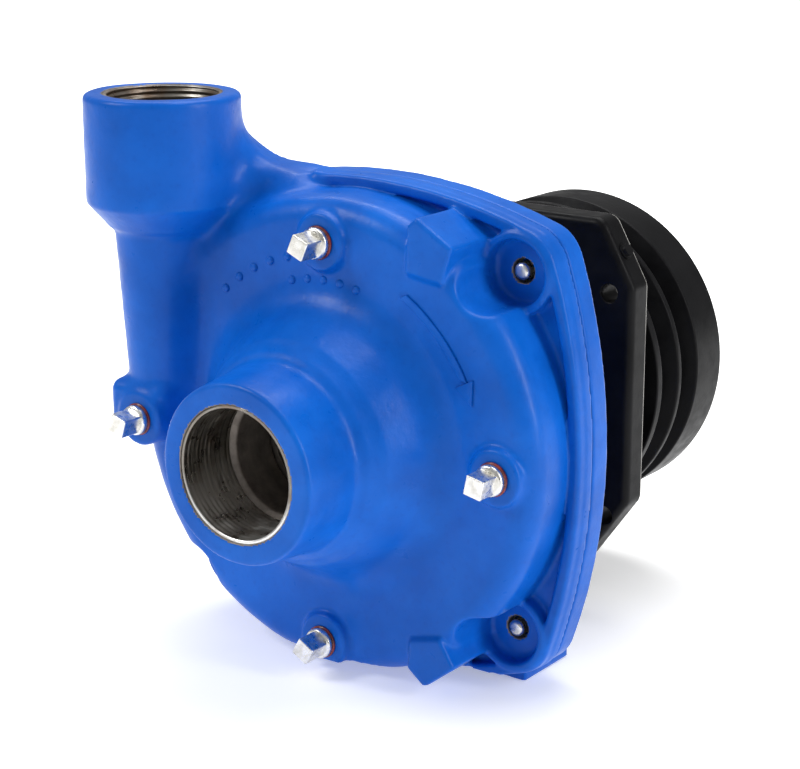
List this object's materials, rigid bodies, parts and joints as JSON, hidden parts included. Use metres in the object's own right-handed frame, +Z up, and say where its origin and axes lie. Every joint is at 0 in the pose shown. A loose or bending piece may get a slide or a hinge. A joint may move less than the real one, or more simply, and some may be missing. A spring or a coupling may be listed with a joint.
{
  "type": "belt driven centrifugal pump",
  "caption": "Cast volute pump with side discharge, flanged bearing barrel on a foot, bracket plate and a grooved V-belt clutch pulley.",
  "frame": {"origin": "on the underside of the foot, directly below the shaft's axis", "axes": "+Z up, the shaft along Y with the suction port facing -Y and the pulley at +Y, discharge port on the -X side"},
  "size_m": [0.1976, 0.2337, 0.2079],
  "materials": {
    "pump_blue": "glossy blue enamel over cast iron",
    "gasket_fibre": "dark pressed fibre",
    "zinc_steel": "bright zinc plate",
    "thread_sealant": "red thread sealant, slightly waxy",
    "black_coat": "satin black coating",
    "machined_steel": "turned steel with a light oil film",
    "bearing_steel": "polished bearing steel",
    "impeller_iron": "raw cast iron, matte",
    "seal_ceramic": "off-white ceramic",
    "seal_carbon": "dense grey-black carbon",
    "black_rubber": "matte nitrile rubber",
    "copper_wire": "enamelled copper wire",
    "coil_resin": "dark potting resin",
    "spring_steel": "blue-grey spring steel",
    "friction_steel": "ground steel, faint rust bloom"
  },
  "bodies": {
    "pump": {"volute_casing": "pump_blue", "discharge_pipe": "pump_blue", "discharge_boss": "pump_blue", "mounting_flange": "pump_blue", "bearing_barrel": "pump_blue", "barrel_ribs": "pump_blue", "foot": "pump_blue", "casing_gasket": "gasket_fibre", "flange_screws": "zinc_steel", "pipe_plugs": "zinc_steel", "plug_sealant": "thread_sealant", "clutch_bracket": "black_coat", "lead_clamp_screw": "black_coat", "pulley_stub": "machined_steel", "bearing_retainer": "machined_steel", "bearing_spacer": "machined_steel", "coil_shell": "black_coat", "coil_winding": "copper_wire", "coil_cover": "coil_resin", "coil_screws": "black_coat", "lead_grommet": "black_rubber", "bracket_screws": "black_coat", "stub_snap_ring": "spring_steel", "seal_seat": "seal_ceramic", "seal_cup": "black_rubber", "front_bearing_outer": "bearing_steel", "front_bearing_balls": "bearing_steel", "rear_bearing_outer": "bearing_steel", "rear_bearing_balls": "bearing_steel", "pulley_bearing_inner": "bearing_steel"},
    "shaft": {"pump_shaft": "machined_steel", "impeller": "impeller_iron", "impeller_key": "machined_steel", "impeller_washer": "zinc_steel", "impeller_nut": "zinc_steel", "slinger": "black_rubber", "seal_face": "seal_carbon", "seal_case": "machined_steel", "seal_bellows": "black_rubber", "front_bearing_inner": "bearing_steel", "rear_bearing_inner": "bearing_steel", "armature_hub": "black_coat", "hub_rivets": "machined_steel", "hub_washer": "zinc_steel", "hub_bolt": "zinc_steel"},
    "pulley": {"pulley_rotor": "black_coat", "sheave_front": "black_coat", "sheave_middle": "black_coat", "sheave_rear": "black_coat", "rotor_retainer": "machined_steel", "pulley_bearing_outer": "bearing_steel", "pulley_bearing_balls": "bearing_steel"},
    "armature": {"armature_plate": "friction_steel", "spring_plate": "spring_steel", "armature_rivets": "machined_steel"}
  },
  "joints": [
    {"name": "shaft_spin", "type": "hinge", "parent": "pump", "child": "shaft", "pos_m": [0, 0, 0.0885], "axis": [0, 1, 0], "continuous": true},
    {"name": "pulley_spin", "type": "hinge", "parent": "pump", "child": "pulley", "pos_m": [0, 0.109, 0.0885], "axis": [0, 1, 0], "continuous": true},
    {"name": "armature_pull", "type": "slide", "parent": "shaft", "child": "armature", "axis": [0, -1, 0], "range_m": [0, 0.0005], "stiffness_N_per_m": 20000}
  ]
}
